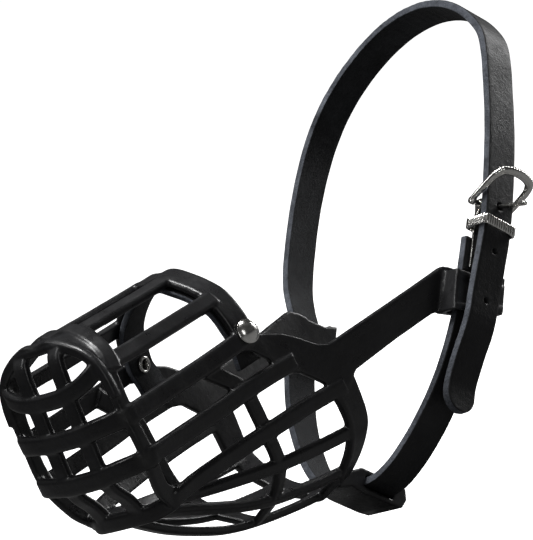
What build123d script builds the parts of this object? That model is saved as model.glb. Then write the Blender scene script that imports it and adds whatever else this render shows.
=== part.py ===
from build123d import *
import os
import math

# Basket muzzle, millimetres, as worn: the nose points to -Y, +Z is up, +X is the wearer's left.
# The origin is the centre of the snout opening.  The tables below are written about the middle
# of the two nose-pad rivets, and every solid is moved by SHIFT when it is written.
SHIFT = (0.0, -35.0, 23.0)

# ---- driving dimensions ----------------------------------------------------------------
BAR_T = 3.0            # thickness of the moulded ribs
ARCH_T = 2.5           # thickness of the arch over the bridge of the nose
RIB_W = 6.4            # width of the side ribs
BELLY_W = 5.0          # width of the belly ribs
CROSS_W = 6.4          # width of the cross bars of the nose grid
UP_W = 6.6             # width of the upright bars of the nose grid
HOOP_W = 7.0           # width of the nose hoop at the sides
PROUD = 0.9            # cross bars and ribs stand this much outside the uprights and hoops
ARM_W = 12.6           # height of the side arms
ARM_T = 2.6            # thickness of the side arms
STRAP_W = 14.0         # width of the leather strap
STRAP_T = 3.2          # thickness of the leather strap
LOOP_PITCH = 45.0      # lean of the strap loop, degrees back from vertical
SLEEVE_Y, SLEEVE_Z = 100.0, -30.2   # middle of the arm sleeves
PAD_W = 13.0           # width of the nose pad
PAD_T = 2.2            # thickness of the nose pad
CAP_R = 4.6            # radius of the rivet caps
EYELET_R = 3.4         # radius of the eyelet flange
POST_R = 1.6           # radius of the rivet posts
BAR_R = 1.2            # radius of the buckle's hinge bar
BUCKLE_HALF = 8.6      # half the width of the buckle, between the side wires
FIT = 0.05             # running clearance of the buckle on its bar

Z1 = (0.0, 0.0, 1.0)


# ---- small vector helpers --------------------------------------------------------------
def add(a, b, s=1.0):
    return (a[0] + s * b[0], a[1] + s * b[1], a[2] + s * b[2])


def sub(a, b):
    return (a[0] - b[0], a[1] - b[1], a[2] - b[2])


def dot(a, b):
    return a[0] * b[0] + a[1] * b[1] + a[2] * b[2]


def cross(a, b):
    return (a[1] * b[2] - a[2] * b[1], a[2] * b[0] - a[0] * b[2], a[0] * b[1] - a[1] * b[0])


def unit(a):
    n = math.sqrt(dot(a, a))
    return (a[0] / n, a[1] / n, a[2] / n)


def mir(p):
    return (-p[0], p[1], p[2])


def catmull(xs, ys, x):
    """Smooth value of the table (xs, ys) at x."""
    if x <= xs[0]:
        return ys[0] + (ys[1] - ys[0]) / (xs[1] - xs[0]) * (x - xs[0])
    if x >= xs[-1]:
        return ys[-1] + (ys[-1] - ys[-2]) / (xs[-1] - xs[-2]) * (x - xs[-1])
    i = max(j for j in range(len(xs) - 1) if xs[j] <= x)

    def slope(j):
        if j == 0:
            return (ys[1] - ys[0]) / (xs[1] - xs[0])
        if j == len(xs) - 1:
            return (ys[-1] - ys[-2]) / (xs[-1] - xs[-2])
        return (ys[j + 1] - ys[j - 1]) / (xs[j + 1] - xs[j - 1])

    h = xs[i + 1] - xs[i]
    t = (x - xs[i]) / h
    return (
        (2 * t**3 - 3 * t**2 + 1) * ys[i]
        + (t**3 - 2 * t**2 + t) * h * slope(i)
        + (-2 * t**3 + 3 * t**2) * ys[i + 1]
        + (t**3 - t**2) * h * slope(i + 1)
    )


# ---- the wall of the basket ------------------------------------------------------------
# Lines along the wall, from the top centre (0) round the left side to the bottom centre (8):
# 1 top rib, 2 upper side rib, 3 rivet rib, 4 middle rib, 5 arm rib, 6 jaw rib, 7 chin rib.
WALL = {
    0: ([-66, -48, -25, 0], [0, 0, 0, 0], [29.8, 29.6, 29.0, 28.6]),
    1: ([-66, -48, -25, 0], [9.4, 8.8, 8.6, 8.6], [29.4, 29.0, 28.4, 28.0]),
    2: ([-64, -48, -25, 0], [24.8, 24.8, 24.8, 25.2], [17.2, 16.6, 16.2, 16.0]),
    3: ([-64, -48, -25, -10, 4], [28.2, 28.6, 29.4, 30.1, 30.6], [-2.1, -2.1, -2.0, -1.6, -1.0]),
    4: ([-64, -48, -25, -10, 12, 28, 38], [28.6, 29.2, 30.2, 31.0, 32.0, 33.2, 34.2], [-18.3, -18.2, -18, -17.5, -18, -19.5, -21]),
    5: ([-58, -48, -25, -10, 12, 28, 38], [22.6, 24.8, 28.3, 30.5, 32.2, 33.5, 34.6], [-37.0, -35.6, -34.6, -34.4, -34.6, -35.4, -36]),
    6: ([-58, -48, -25, -10, 12, 28, 38], [19.4, 21.4, 25.8, 28.4, 30.4, 31.8, 32.4], [-38.6, -40.6, -45.2, -48.0, -50.8, -52.3, -53.2]),
    7: ([-62, -48, -25, -10, 12, 28, 38], [10.4, 12.2, 14.6, 16.2, 17.0, 17.4, 17.6], [-39.6, -45.0, -55.2, -60.2, -64.6, -66.8, -67.8]),
    8: ([-66, -48, -25, -10, 12, 28, 38], [0, 0, 0, 0, 0, 0, 0], [-37.4, -50.6, -62.4, -67.2, -71.6, -73.8, -74.6]),
}
KS = list(range(9))


def wall(k, y):
    """Outer surface at line k and station y."""
    xs = [catmull(WALL[j][0], WALL[j][1], y) for j in KS]
    zs = [catmull(WALL[j][0], WALL[j][2], y) for j in KS]
    return (catmull(KS, xs, k), y, catmull(KS, zs, k))


def wall_along(k, y):
    """Unit vector along the section at line k, from the top round to the bottom."""
    a, b = wall(max(0, k - 0.05), y), wall(min(8, k + 0.05), y)
    return unit((b[0] - a[0], 0, b[2] - a[2]))


def wall_out(k, y):
    c = wall_along(k, y)
    return (-c[2], 0, c[0])


# ---- solids from sections --------------------------------------------------------------
def skin(sections):
    """A closed solid through a list of equal-length point rings."""
    n = len(sections[0])
    tris = []
    for s, t in zip(sections, sections[1:]):
        for i in range(n):
            j = (i + 1) % n
            tris += [(s[i], s[j], t[j]), (s[i], t[j], t[i])]
    for ring in (sections[0], sections[-1]):
        tris += [(ring[0], ring[i], ring[i + 1]) for i in range(1, n - 1)]
    faces = [Face(Wire.make_polygon([Vector(*p) for p in t], close=True)) for t in tris]
    body = Solid(Shell(faces))
    return -body if body.volume < 0 else body


def prism(ring, other):
    """A closed solid between two flat outlines that match point for point."""
    n = len(ring)
    faces = [Face(Wire.make_polygon([Vector(*p) for p in r], close=True)) for r in (ring, other)]
    for i in range(n):
        j = (i + 1) % n
        quad = (ring[i], ring[j], other[j], other[i])
        faces.append(Face(Wire.make_polygon([Vector(*p) for p in quad], close=True)))
    body = Solid(Shell(faces))
    return -body if body.volume < 0 else body


def bar(path, widths, thick, proud=0.0):
    """A flat bar.  path holds (point, across, outward) on the outer surface of the wall."""
    rings = []
    for i, (p, across, out) in enumerate(path):
        a = path[max(0, i - 1)][0]
        b = path[min(len(path) - 1, i + 1)][0]
        run = unit(sub(b, a))
        across = unit(add(across, run, -dot(across, run)))
        normal = cross(run, across)
        if dot(normal, out) < 0:
            normal = (-normal[0], -normal[1], -normal[2])
        w = widths[i] if isinstance(widths, (list, tuple)) else widths
        o = add(p, normal, proud)
        q = add(o, normal, -thick)
        rings.append([add(o, across, -w / 2), add(o, across, w / 2), add(q, across, w / 2), add(q, across, -w / 2)])
    return skin(rings)


def both(path):
    """The path mirrored to the right side and joined to itself through the middle plane."""
    far = [(mir(p), mir(a), mir(o)) for p, a, o in reversed(path)]
    return far + path[1:]


def rib_run(k, ys):
    return [(wall(k, y), wall_along(k, y), wall_out(k, y)) for y in ys]


def flat(points):
    """Points of a cross bar of the nose grid: upright across, outward from the snout."""
    return [((x, y, z), Z1, (x * 0.8, y + 45.0, 0)) for x, y, z in points]


# ---- basket ----------------------------------------------------------------------------
DOWN = (0, 0, -1.0)


def down(points):
    return [((x, y, z), DOWN, (x * 0.8, y + 45.0, 0)) for x, y, z in points]


parts_of_basket = []
H0 = down([(0, -70.6, 11.2), (9, -70.4, 11.6), (16.5, -69.8, 13.2), (22.6, -67.6, 15.6), (24.8, -63.6, 17.0)])
H1 = down([(0, -71.8, -3.2), (9, -71.6, -3.0), (17.5, -70.8, -2.3), (24.6, -68.6, -2.0), (28.0, -64.4, -2.1)])
H2 = down([(0, -72.4, -19.5), (9, -72.2, -19.3), (17.5, -71.2, -18.6), (24.8, -68.8, -18.3), (28.4, -64.4, -18.4)])
H3 = down([(0, -64.4, -38.0), (8.6, -63.8, -38.1), (14.4, -62.2, -38.3), (19.4, -58.8, -37.8)])
parts_of_basket.append(bar(both(H0 + rib_run(2, [-60, -48, -25, -2])), [RIB_W] * 4 + [CROSS_W] * 9 + [RIB_W] * 4, BAR_T, PROUD * 0.6))
parts_of_basket.append(bar(both(H1 + rib_run(3, [-61, -48, -25, -10, 3])), 7.0, BAR_T, PROUD))
parts_of_basket.append(bar(both(H2 + rib_run(4, [-61, -48, -25, -10, 6, 16])), 7.0, BAR_T, PROUD))
parts_of_basket.append(bar(both(H3 + rib_run(5, [-57, -48, -25, -10, 12, 30])), RIB_W, BAR_T, PROUD))

# upright bars of the nose grid, carried on under the chin as the belly ribs
V3 = [(9.2, -65.6, 28.6), (9.1, -68.2, 26.0), (9.0, -69.6, 21.0), (8.9, -70.2, 15.0), (8.8, -70.8, 9.8), (8.8, -71.8, -4.8), (8.8, -72.4, -19.0), (8.8, -70.8, -25.0), (8.8, -66.6, -31.0), (8.9, -63.4, -37.4)]


def upright(points, side=1):
    return [((side * x, y, z), (1, 0, 0), (0, y + 40.0, z + 5.0)) for x, y, z in points]


def belly(k, ys, side=1):
    out = []
    for y in ys:
        p, a, o = wall(k, y), wall_along(k, y), wall_out(k, y)
        if k == 8:
            a, o = (-1.0, 0, 0), (0, 0, -1.0)
        a = (-a[0], -a[1], -a[2])
        out.append(((side * p[0], p[1], p[2]), (a[0], a[1], side * a[2]), (side * o[0], o[1], o[2])))
    return out


parts_of_basket.append(bar(belly(8, [-64, -58, -48, -36, -25, -10, 6, 20, 33]), BELLY_W, BAR_T))
for side in (1, -1):
    parts_of_basket.append(bar(upright(V3, side) + belly(7, [-57, -48, -36, -25, -10, 12, 31], side), [UP_W] * 10 + [BELLY_W] * 7, BAR_T))
    jaw = belly(6, [-57, -48, -36, -25, -10, 12, 31], side)
    parts_of_basket.append(bar(jaw, [4.0, 4.4, 5.0, 5.0, 5.2, 5.2, 5.2], BAR_T))
    top = [((side * p[0], p[1], p[2]), (side * a[0], 0, a[2]), (side * o[0], 0, o[2])) for p, a, o in rib_run(1, [-56, -40, -25, -2])]
    parts_of_basket.append(bar(top, 5.6, BAR_T))

# nose hoop: a wide band over the top, a narrower hoop down each side to the chin bar
hoop1 = []
CORNER = {1: 0.5, 1.4: 1.5, 1.75: 1.8, 2.1: 1.0}
for k, yf, yr in ((0, -66.5, -48.5), (1, -66.5, -49.0), (1.4, -66.6, -51.5), (1.75, -66.8, -56.0), (2.1, -66.8, -59.0), (3, -67.0, -61.4), (4, -66.8, -61.2), (4.6, -64.4, -58.6), (5, -60.4, -53.0)):
    y = (yf + yr) / 2
    hoop1.append((add(wall(k, y), wall_out(k, y), CORNER.get(k, 0.0)), (0, 1.0, 0), wall_out(k, y), yr - yf))
path1 = [(p, a, o) for p, a, o, w in hoop1]
w1 = [w for p, a, o, w in hoop1]
far1 = [(mir(p), a, mir(o)) for p, a, o in reversed(path1)]
parts_of_basket.append(bar(far1 + path1[1:], w1[::-1] + w1[1:], BAR_T))

# middle hoop: leans forward above the middle rib, upright below it
hoop2 = [(3, -25.0), (3.5, -17.5), (4, -11.5), (4.5, -10.5), (5, -10.2), (5.5, -9.8), (6, -9.3), (6.5, -8.6), (7, -8.0), (7.5, -7.0), (8, -6.5)]
path2 = [(wall(k, y), (0, 1.0, 0), wall_out(k, y)) for k, y in hoop2]
path2[-1] = (path2[-1][0], (0, 1.0, 0), (0, 0, -1.0))
far2 = [(mir(p), a, mir(o)) for p, a, o in reversed(path2)]
w2 = [6.6, 6.4, 6.2, 6.0, 6.0, 5.8, 5.8, 5.6, 5.4, 5.4, 5.4]
parts_of_basket.append(bar(path2 + far2[1:], w2 + w2[::-1][1:], BAR_T, -0.4))

# rear rim under the jaw
rim = [(4.9, 30.5, 13.5), (5.3, 30.6, 12.2), (5.7, 30.2, 11.4), (6, 29.8, 11.0), (6.4, 29.4, 9.6), (6.8, 29.2, 8.4), (7.2, 29.3, 7.4), (7.6, 29.6, 7.0), (8, 29.8, 7.0)]
path3 = [(wall(k, y), (0, 1.0, 0), wall_out(k, y)) for k, y, w in rim]
path3[-1] = (path3[-1][0], (0, 1.0, 0), (0, 0, -1.0))
far3 = [(mir(p), a, mir(o)) for p, a, o in reversed(path3)]
w3 = [w for k, y, w in rim]
parts_of_basket.append(bar(path3 + far3[1:], w3 + w3[::-1][1:], 3.4, 0.3))

# arch over the bridge of the nose, between the rivets
arch = [(0, 0), (0.6, 0), (1, 0), (1.3, 0), (1.6, 0), (2, 0), (2.5, 0), (2.9, 0), (3.14, 0.3)]
path4 = [(wall(k, y), (0, 1.0, 0), wall_out(k, y)) for k, y in arch]
path4[0] = (path4[0][0], (0, 1.0, 0), (0, 0, 1.0))
far4 = [(mir(p), a, mir(o)) for p, a, o in reversed(path4)]
parts_of_basket.append(bar(far4 + path4[1:], 10.6, ARCH_T + 0.2, 0.2))


def side_plate(rows, side, thick):
    """A plate along the side: rows of (y, z_top, x_top, z_bottom, x_bottom), outer surface."""
    rings = []
    for y, zt, xt, zb, xb in rows:
        d = unit((xb - xt, 0, zb - zt))
        n = (-d[2], 0, d[0])
        t, b = (xt, y, zt), (xb, y, zb)
        ring = [t, b, add(b, n, -thick), add(t, n, -thick)]
        rings.append([(side * p[0], p[1], p[2]) for p in ring])
    return skin(rings)


for side in (1, -1):
    # plate from the rivet back to the root of the arm, and the arm itself
    parts_of_basket.append(side_plate([
        (-8.0, 2.6, 30.2, -4.8, 30.6), (-2.0, 2.6, 30.7, -6.0, 31.1), (4.6, -2.2, 31.1, -13.0, 31.7), (6.4, -3.2, 31.0, -20.4, 32.0), (14.6, -6.8, 31.6, -22.6, 32.6),
        (21.0, -11.6, 32.4, -29.0, 33.2), (27.0, -17.0, 33.2, -36.0, 33.8), (32.0, -19.4, 34.0, -37.0, 34.4), (38.0, -19.3, 34.9, -33.0, 35.0),
        (60.0, -18.6, 38.2, -31.4, 38.2), (80.0, -17.9, 41.0, -30.6, 41.0), (94.2, -17.4, 42.4, -33.0, 42.4), (98.0, -19.6, 42.6, -36.0, 42.6), (102.0, -23.6, 42.6, -38.0, 42.6)], side, ARM_T))

LP = math.radians(LOOP_PITCH)
UV = (0.0, math.cos(LP), math.sin(LP))      # up the strap loop
NV = (0.0, math.sin(LP), -math.cos(LP))     # across the strap, backward and down
P0 = (0.0, SLEEVE_Y, SLEEVE_Z)


def loop(x, v, n=0.0):
    return add(add((x, P0[1], P0[2]), UV, v), NV, n)


def prism_x(vn, x0, x1):
    """A polygon given as (v, n) pairs in the loop's own side view, between two x planes."""
    return prism(*[[loop(x, v, n) for v, n in vn] for x in (x0, x1)])


for side in (1, -1):
    # sleeve on the arm: inner wall, front and rear walls, outer wall; the strap passes along v
    for vn, xa, xb in (
        ([(4.9, -13.0), (-13.4, -11.2), (-6.2, 13.6), (8.2, 12.8), (6.0, 7.0)], 40.0, 42.6),
        ([(3.0, -12.2), (-13.2, -11.2), (-12.4, -9.0), (3.2, -9.2)], 41.4, 49.4),
        ([(8.0, 9.6), (-6.6, 9.7), (-6.2, 13.6), (8.2, 12.8)], 41.4, 49.4),
        ([(3.0, -12.2), (-13.2, -11.2), (-6.2, 13.6), (5.2, 13.2)], 47.6, 49.4),
    ):
        parts_of_basket.append(prism_x(vn, side * xa, side * xb))

# chin sleeve: a tongue behind the chin with a cross slot for the strap
for vn in (
    [(-67.2, -9.6), (-71.6, -16.6), (-76.2, -20.8), (-78.4, -18.6), (-75.8, -13.0), (-76.4, -7.4), (-67.2, -7.4)],
    [(-67.2, -8.0), (-69.4, -8.0), (-69.4, 8.0), (-67.2, 8.0)],
    [(-73.9, -8.0), (-76.4, -8.0), (-76.2, 8.0), (-73.9, 8.0)],
    [(-67.2, 7.4), (-76.2, 7.4), (-75.6, 12.6), (-72.0, 14.4), (-67.8, 13.2)],
):
    parts_of_basket.append(prism_x(vn, -9.0, 9.0))

basket = parts_of_basket[0].fuse(*parts_of_basket[1:])

# rivet holes through the arch ends
RIVET_TILT = 11.0
RA = math.radians(RIVET_TILT)


def rivet_frame(side):
    """Axis of a nose-pad rivet: a point on the outer face of the arch and the outward direction."""
    p = wall(2.95, 0)
    return (side * (p[0] + 0.2), 0.0, 0.0), unit((side * math.cos(RA), -0.12, math.sin(RA)))


def along(o, d, a, b, r, r2=None):
    """A cylinder or cone on the axis (o, d) from a to b."""
    pl = Plane(origin=Vector(*add(o, d, a)), z_dir=Vector(*d))
    if r2 is None:
        return pl * extrude_circle(r, b - a)
    return pl * Pos(0, 0, (b - a) / 2) * Cone(r, r2, b - a)


def extrude_circle(r, h):
    return Pos(0, 0, h / 2) * Cylinder(r, h)


for side in (1, -1):
    o, d = rivet_frame(side)
    basket = basket - along(o, d, -7, 3, POST_R + 0.05) - along(o, d, 1.25, 6, CAP_R + 0.3)
basket = basket.solids().sort_by(SortBy.VOLUME)[-1]

# ---- nose pad --------------------------------------------------------------------------
pad_path = []
for k in (0, 0.5, 0.9, 1.2, 1.5, 1.8, 2.2, 2.6, 3.0, 3.3, 3.62):
    p, o = wall(k, 0), wall_out(k, 0)
    if k == 0:
        o = (0, 0, 1.0)
    if k > 3:
        p = (30.4 - (k - 3) * 2.4, 0, -0.6 - (k - 3) * 18.0)
        o = unit((1.0, 0, -0.12))
    q = add(p, o, -(BAR_T if k < 2 else 2.8 if k < 2.4 else ARCH_T))
    pad_path.append((q, (0, 1.0, 0), o))
pad_far = [(mir(p), a, mir(o)) for p, a, o in reversed(pad_path)]
nose_pad = bar(pad_far + pad_path[1:], PAD_W, PAD_T, -0.2)
for side in (1, -1):
    o, d = rivet_frame(side)
    nose_pad = nose_pad - along(o, d, -9, 3, POST_R + 0.05) - along(o, d, -12, -4.45, EYELET_R + 0.15)

# ---- rivets of the nose pad ------------------------------------------------------------
CAP_GAP = 0.05
cap, eye = {}, {}
for side in (1, -1):
    o, d = rivet_frame(side)
    base = add(o, d, 1.3)
    ball_r = (CAP_R**2 + 2.3**2) / (2 * 2.3)
    pl = Plane(origin=Vector(*base), z_dir=Vector(*d))
    dome = pl * (Pos(0, 0, 2.3 - ball_r) * Sphere(ball_r))
    dome = dome & (pl * extrude_circle(CAP_R, 4.0))
    cap[side] = (dome - along(base, d, -1, 0.9, POST_R + 0.02))
    deep = -(ARCH_T + PAD_T + 0.75)
    tube = along(o, d, deep, 2.05, POST_R) - along(o, d, deep - 1, 2.2, 1.0)
    ring = Plane(origin=Vector(*add(o, d, deep)), z_dir=Vector(*d)) * Torus(2.4, 0.9)
    eye[side] = tube + ring - along(o, d, deep - 2, 2.2, 1.0)

# ---- leather strap ---------------------------------------------------------------------
def strap(points, w0=STRAP_W, t=STRAP_T):
    """A strap laid along (x, v) points of the loop plane, flat side facing out of the loop."""
    one, two = [], []
    for i, (x, v) in enumerate(points):
        a, b = points[max(0, i - 1)], points[min(len(points) - 1, i + 1)]
        dx, dv = b[0] - a[0], b[1] - a[1]
        m = math.hypot(dx, dv)
        nx, nv = -dv / m * t / 2, dx / m * t / 2
        one.append((x + nx, v + nv))
        two.append((x - nx, v - nv))
    outline = one + two[::-1]
    return prism([loop(x, v, -w0 / 2) for x, v in outline], [loop(x, v, w0 / 2) for x, v in outline])


LOWER = [(45.1, 0.0), (44.9, -7.0), (44.5, -13.0), (43.4, -19.5), (41.6, -27.5), (39.3, -35.0), (36.6, -41.8), (33.3, -48.2), (29.7, -54.2), (25.8, -59.6), (21.8, -64.2), (18.0, -67.6), (13.8, -70.2), (9.0, -71.6), (0.0, -71.6)]
chin_pts = LOWER + [(-x, v) for x, v in reversed(LOWER[:-1])]
chin_pts = [(45.1, 3.0)] + chin_pts + [(-45.1, 3.0)]
UPPER = [(45.1, -7.2), (45.1, 0.0), (45.3, 5.5), (48.4, 12.5), (51.2, 20.0), (52.8, 29.0), (53.5, 40.0), (53.7, 51.0), (53.2, 62.0), (51.9, 73.0), (49.5, 84.0), (45.4, 94.6), (39.8, 103.6), (32.6, 111.6), (24.4, 118.2), (15.8, 123.0), (7.2, 125.8), (-1.0, 126.8)]
upper_far = [(-x, v) for x, v in UPPER]
upper_near = [(8.2, 126.4), (17.4, 124.0), (26.0, 119.5), (34.0, 113.0), (40.6, 105.0), (44.2, 95.0), (46.6, 84.0), (48.9, 72.6), (50.8, 61.0), (52.2, 49.0), (53.3, 38.0), (53.9, 29.0), (54.0, 18.8)]
nape_pts = upper_far + upper_near

swing = {1: (45.1, 0.0), -1: (-45.1, 0.0)}


def disc(r, x0, x1):
    return Plane(origin=Vector(*loop(x0, 0)), z_dir=Vector(1, 0, 0)) * extrude_circle(r, x1 - x0)


def half_space_v(x0, x1, v0, v1, n0, n1):
    return prism(*[[loop(x, v0, n0), loop(x, v1, n0), loop(x, v1, n1), loop(x, v0, n1)] for x in (x0, x1)])


chin_strap = strap(chin_pts)
# the ends inside the arm sleeves are hollowed round the swing axis
for x0 in (42.0, -49.0):
    chin_strap = chin_strap - disc(STRAP_W / 2 + 0.3, x0, x0 + 7.0)
chin_strap = chin_strap.solids().sort_by(SortBy.VOLUME)[-1]
nape_strap = strap(nape_pts)
# far end: rounded about the swing axis
cutter = half_space_v(-49.0, -42.0, -9.0, 0.0, -9.0, 9.0) - disc(STRAP_W / 2, -50.0, -41.0)
nape_strap = nape_strap - cutter
nape_strap = nape_strap.solids().sort_by(SortBy.VOLUME)[-1]

# prong hole
BUCKLE_X, BUCKLE_V = 49.0, 31.8
HOLE_R = 1.9
hole_axis = (1.0, 0.0, 0.0)


def punch(v, x0=49.0, x1=60.0, r=HOLE_R, n=0.0):
    return along(loop(x0, v, n), (1.0, 0, 0), 0, x1 - x0, r)


nape_strap = nape_strap - punch(31.1, r=2.1)

# tail: the free end of the strap below the keeper
HINGE_TV = 18.4
HINGE_TX = 54.0
tail_pts = [(HINGE_TX, HINGE_TV), (53.5, 12.5), (52.6, 4.0), (51.9, -3.0), (51.6, -9.0), (51.3, -13.0), (50.2, -18.5), (48.2, -25.5), (46.5, -32.0), (45.3, -38.0), (45.2, -43.0), (45.6, -49.2)]
strap_tail = strap(tail_pts)
tip = along(loop(40.0, -42.0), (1.0, 0, 0), 0, 14.0, STRAP_W / 2)
strap_tail = strap_tail - (half_space_v(40.0, 50.5, -54.0, -42.0, -9.0, 9.0) - tip)
for v in (13.0, -6.5):
    strap_tail = strap_tail - punch(v, 48.0, 58.0)
bend_axis = loop(HINGE_TX, HINGE_TV, -9.0)
knuckle = along(bend_axis, NV, 0, 18.0, STRAP_T / 2)
strap_tail = strap_tail.fuse(along(loop(HINGE_TX, HINGE_TV, -STRAP_W / 2), NV, 0, STRAP_W, STRAP_T / 2))
strap_tail = strap_tail.solids().sort_by(SortBy.VOLUME)[-1]
nape_strap = nape_strap - along(bend_axis, NV, 0, 18.0, STRAP_T / 2 + 0.2)
nape_strap = nape_strap.solids().sort_by(SortBy.VOLUME)[-1]

# end of the strap at the buckle: comes up through the near sleeve, riveted to the chape
end_pts = [(45.1, -7.2), (45.1, 0.0), (45.1, 8.0), (45.2, 13.0), (45.3, 18.6)]
strap_end = strap(end_pts)
cutter = half_space_v(42.0, 49.0, -9.0, 0.0, -9.0, 9.0) - disc(STRAP_W / 2, 41.0, 50.0)
strap_end = strap_end - cutter
strap_end = strap_end.solids().sort_by(SortBy.VOLUME)[-1]

# ---- buckle ----------------------------------------------------------------------------
CH0, CH1 = 47.05, 48.15
LOOP_R = 2.3


def box_xvn(x0, x1, v0, v1, n0, n1):
    return half_space_v(x0, x1, v0, v1, n0, n1)


CW = 4.8
chape = box_xvn(CH0, CH1, 6.6, BUCKLE_V - 0.5, -CW, CW)
bar_o = loop(BUCKLE_X, BUCKLE_V, -12.0)
chape = chape.fuse(along(loop(BUCKLE_X, BUCKLE_V, -CW), NV, 0, 2 * CW, LOOP_R))
chape = chape - along(bar_o, NV, 0, 24.0, BAR_R + FIT)
chape = chape - box_xvn(45.0, 52.0, BUCKLE_V - 5.5, BUCKLE_V + 4.0, -1.9, 1.9)
CHAPE_RIVET_V = 12.5
rv = loop(41.0, CHAPE_RIVET_V)
for hole_r in (1.3,):
    chape = chape - along(rv, (1.0, 0, 0), 0, 12.0, hole_r + 0.02)
    strap_end = strap_end - along(rv, (1.0, 0, 0), 0, 8.0, hole_r + 0.02)
chape = chape.solids().sort_by(SortBy.VOLUME)[-1]
# rivet of the chape: a low domed cap outside, a post and a flat tail inside the loop
r_out = loop(CH1 + 0.03, CHAPE_RIVET_V)
rr = (3.2**2 + 1.1**2) / 2.2
pl = Plane(origin=Vector(*r_out), z_dir=Vector(1, 0, 0))
chape_rivet = (pl * (Pos(0, 0, 1.1 - rr) * Sphere(rr))) & (pl * extrude_circle(3.2, 3.0))
x_in = 45.25 - STRAP_T / 2 - 0.12
chape_rivet = chape_rivet.fuse(along(loop(x_in, CHAPE_RIVET_V), (1.0, 0, 0), -0.6, CH1 + 0.5 - x_in, 1.3))
chape_rivet = chape_rivet.fuse(along(loop(x_in, CHAPE_RIVET_V), (1.0, 0, 0), -0.9, 0.0, 2.8))
chape_rivet = chape_rivet.solids().sort_by(SortBy.VOLUME)[-1]

TILT = math.radians(36.0)
FD = add((math.cos(TILT), 0, 0), UV, math.sin(TILT))        # direction from the bar to the front of the frame


def fp(a, n, lift=0.0):
    """A point of the buckle frame: a along it, n across it."""
    return add(loop(BUCKLE_X, BUCKLE_V, n), FD, a)


WIRE = 1.35


def rod(p, q, r):
    d = sub(q, p)
    m = math.sqrt(dot(d, d))
    return along(p, unit(d), 0, m, r)


def ball(p, r):
    return Pos(*p) * Sphere(r)


frame_pts = [(0.0, -BUCKLE_HALF), (4.0, -8.9), (8.5, -8.9), (13.0, -8.6), (16.2, -7.0), (17.6, -3.8), (18.0, 0.0), (17.6, 3.8), (16.2, 7.0), (13.0, 8.6), (8.5, 8.9), (4.0, 8.9), (0.0, BUCKLE_HALF)]
radii = [1.25, 1.3, 1.35, 1.5, 1.7, 1.75, 1.75, 1.75, 1.7, 1.5, 1.35, 1.3, 1.25]
buckle = rod(fp(0, -BUCKLE_HALF), fp(0, BUCKLE_HALF), BAR_R)
for (a, n), (b, m), r0, r1 in zip(frame_pts, frame_pts[1:], radii, radii[1:]):
    p, q = fp(a, n), fp(b, m)
    d = sub(q, p)
    L = math.sqrt(dot(d, d))
    seg = along(p, unit(d), 0, L, r0, r1) if abs(r0 - r1) > 1e-6 else along(p, unit(d), 0, L, r0)
    buckle = buckle.fuse(seg)
for (a, n), r in zip(frame_pts, radii):
    buckle = buckle.fuse(ball(fp(a, n), r))
buckle = buckle.solids().sort_by(SortBy.VOLUME)[-1]

PRONG_ANG = math.radians(-7.0)
PD = add((math.cos(PRONG_ANG), 0, 0), UV, math.sin(PRONG_ANG))
bo = loop(BUCKLE_X, BUCKLE_V, -1.4)
prong_o = add(loop(BUCKLE_X, BUCKLE_V), PD, 1.6)
prong = along(bo, NV, 0, 2.8, 2.3).fuse(along(prong_o, PD, 0, 17.6, 0.95, 0.8)).fuse(ball(add(prong_o, PD, 17.6), 1.0))
prong = prong - along(bar_o, NV, 0, 24.0, BAR_R + FIT)
prong = prong.solids().sort_by(SortBy.VOLUME)[-1]

# ---- keeper ----------------------------------------------------------------------------
KV0, KV1 = 21.2, 25.2
keeper = box_xvn(45.9, 57.5, KV0, KV1, -8.5, 8.5) - box_xvn(46.75, 56.4, KV0 - 1, KV1 + 1, -7.35, 7.35)

# ---- write -----------------------------------------------------------------------------
NODES = {
    "basket": basket,
    "nose_pad": nose_pad,
    "rivet_cap_left": cap[1],
    "rivet_cap_right": cap[-1],
    "rivet_eyelet_left": eye[1],
    "rivet_eyelet_right": eye[-1],
    "chin_strap": chin_strap,
    "nape_strap": nape_strap,
    "strap_tail": strap_tail,
    "strap_end": strap_end,
    "buckle_chape": chape,
    "chape_rivet": chape_rivet,
    "buckle_frame": buckle,
    "buckle_prong": prong,
    "strap_keeper": keeper,
}
os.makedirs("parts", exist_ok=True)
for name, shape in NODES.items():
    solids = shape.solids()
    body = solids[0] if len(solids) == 1 else Compound(children=list(solids))
    export_step(Pos(*SHIFT) * body, "parts/" + name + ".step")
    print(name, len(solids), round(sum(s.volume for s in solids), 1))
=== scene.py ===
import bpy
import math
import numpy as np
from mathutils import Matrix, Vector


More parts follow.
